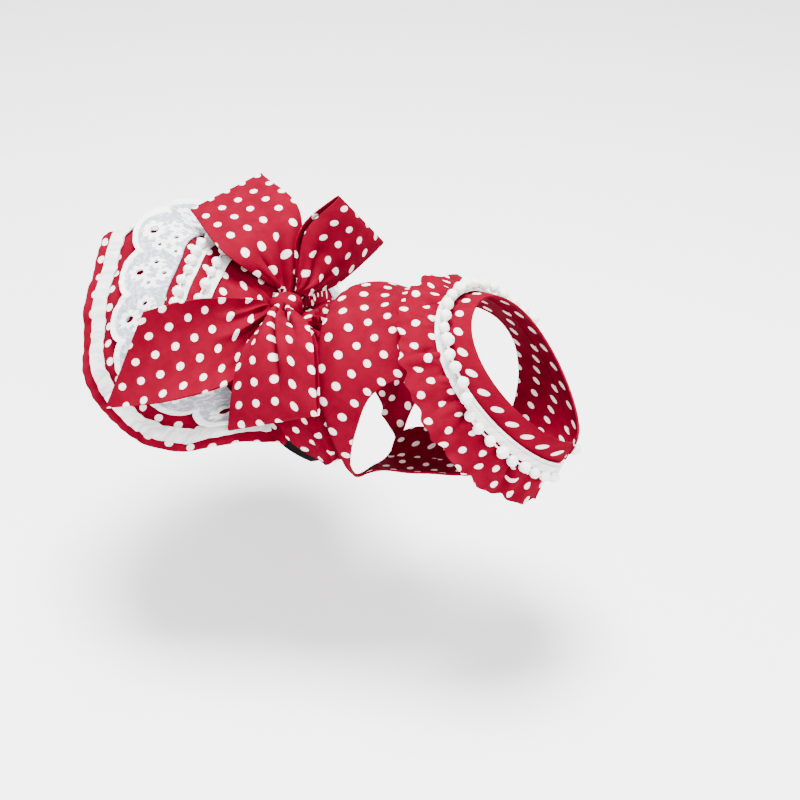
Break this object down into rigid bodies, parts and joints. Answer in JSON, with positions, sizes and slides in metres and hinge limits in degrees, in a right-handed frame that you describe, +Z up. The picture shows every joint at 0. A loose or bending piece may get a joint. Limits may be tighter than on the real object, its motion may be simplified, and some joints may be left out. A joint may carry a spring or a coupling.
{
  "type": "dog dress",
  "caption": "Small dog's dress held in its worn shape: spotted cotton bodice with leg openings, neck ruffle, puffed skirt with lace and pompom trim, and a large bow.",
  "frame": {"origin": "inner face of the back, on the centre line at the girth behind the front legs, where the dress rests on the wearer's spine", "axes": "+X along the back towards the wearer's head, +Y to the wearer's left, +Z up"},
  "size_m": [0.3444, 0.2211, 0.159],
  "materials": {
    "spotted_cotton": "plain-woven crimson cotton with white spots",
    "white_lace": "white embroidered eyelet cotton",
    "white_tape": "white twill tape",
    "white_braid": "white woven braid",
    "white_pompom": "fluffy white yarn",
    "label_tape": "bare black woven tape"
  },
  "bodies": {
    "root": {"bodice": "spotted_cotton", "belly_placket": "spotted_cotton", "side_label": "label_tape", "neck_band": "spotted_cotton", "neck_ruffle": "spotted_cotton", "neck_tape": "white_braid", "neck_pompoms": "white_pompom", "skirt": "spotted_cotton", "hem_tape": "white_tape", "lace_frill": "white_lace", "skirt_tape_outer": "white_braid", "skirt_pompoms_outer": "white_pompom", "skirt_tape_inner": "white_braid", "skirt_pompoms_inner": "white_pompom", "bow_loop_near": "spotted_cotton", "bow_loop_far": "spotted_cotton", "bow_tail_near": "spotted_cotton", "bow_tail_far": "spotted_cotton", "bow_knot": "spotted_cotton"}
  },
  "joints": []
}
